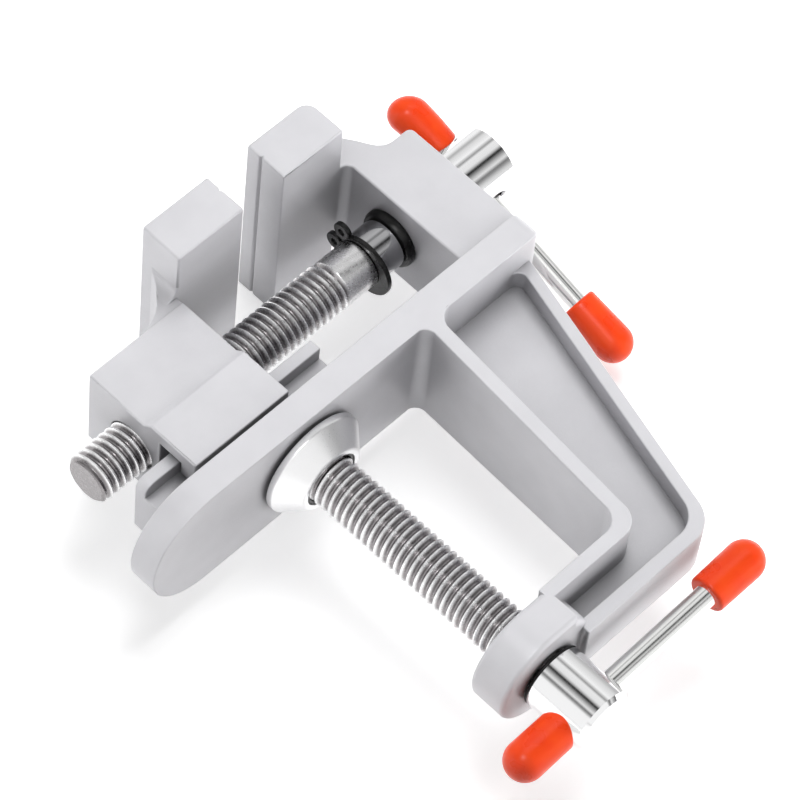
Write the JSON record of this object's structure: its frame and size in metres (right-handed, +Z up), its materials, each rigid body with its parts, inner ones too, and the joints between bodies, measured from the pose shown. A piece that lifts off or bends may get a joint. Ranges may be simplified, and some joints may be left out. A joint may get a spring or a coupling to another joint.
{
  "type": "clamp-on bench vise",
  "caption": "Small clamp-on bench vise: a screw-driven jaw slides on a rail towards a fixed jaw, and a screw clamp below the seat grips a bench edge.",
  "frame": {"origin": "where the clamp screw's axis meets the seat face, which is the underside of the seat plate", "axes": "+Z up from the bench to the jaws; +X along the lead screw towards its head; +Y across the jaws"},
  "size_m": [0.0835, 0.034, 0.0909],
  "materials": {
    "cast_aluminium": "die-cast aluminium, tumbled to a satin, with brighter edges",
    "zinc_steel": "bright zinc-plated steel",
    "chrome": "polished chrome plate",
    "nickel_steel": "satin nickel plate",
    "red_plastic": "orange-red dipped vinyl, smooth gloss",
    "black_steel": "black phosphated spring steel",
    "black_plastic": "moulded black nylon",
    "black_rubber": "thin black rubber washer"
  },
  "bodies": {
    "frame": {"frame_casting": "cast_aluminium", "shank_bush": "black_plastic"},
    "jaw": {"moving_jaw": "cast_aluminium"},
    "lead_screw": {"lead_screw": "zinc_steel", "spacer_sleeve": "zinc_steel", "retaining_clip": "black_steel", "lead_screw_head": "chrome"},
    "lead_bar": {"lead_handle_bar": "zinc_steel", "lead_cap_upper": "red_plastic", "lead_cap_lower": "red_plastic"},
    "pad": {"clamp_pad": "nickel_steel", "pad_retainer": "black_plastic"},
    "clamp_screw": {"clamp_screw": "zinc_steel", "stop_ring": "black_rubber", "clamp_screw_head": "chrome"},
    "clamp_bar": {"clamp_handle_bar": "zinc_steel", "clamp_cap_near": "red_plastic", "clamp_cap_far": "red_plastic"}
  },
  "joints": [
    {"name": "lead_turn", "type": "hinge", "parent": "frame", "child": "lead_screw", "pos_m": [0.03, 0, 0.0178], "axis": [1, 0, 0], "range_deg": [-2188.8, 4608]},
    {"name": "jaw_slide", "type": "slide", "parent": "frame", "child": "jaw", "axis": [1, 0, 0], "range_m": [-0.0161, 0.00765]},
    {"name": "lead_bar_slide", "type": "slide", "parent": "lead_screw", "child": "lead_bar", "axis": [0, 0.342, -0.9397], "range_m": [-0.0182, 0]},
    {"name": "clamp_feed", "type": "slide", "parent": "frame", "child": "pad", "axis": [0, 0, 1], "range_m": [-0.0311, 0.00045]},
    {"name": "clamp_turn", "type": "hinge", "parent": "pad", "child": "clamp_screw", "pos_m": [0, 0, -0.03], "axis": [0, 0, 1], "range_deg": [-8928, 115.2]},
    {"name": "clamp_bar_slide", "type": "slide", "parent": "clamp_screw", "child": "clamp_bar", "axis": [0.9986, -0.0523, 0], "range_m": [-0.0182, 0]}
  ],
  "couplings": [
    {"joint": "jaw_slide", "follows": "lead_turn", "m_per_rad": -0.00019894},
    {"joint": "clamp_feed", "follows": "clamp_turn", "m_per_rad": 0.00019894}
  ]
}
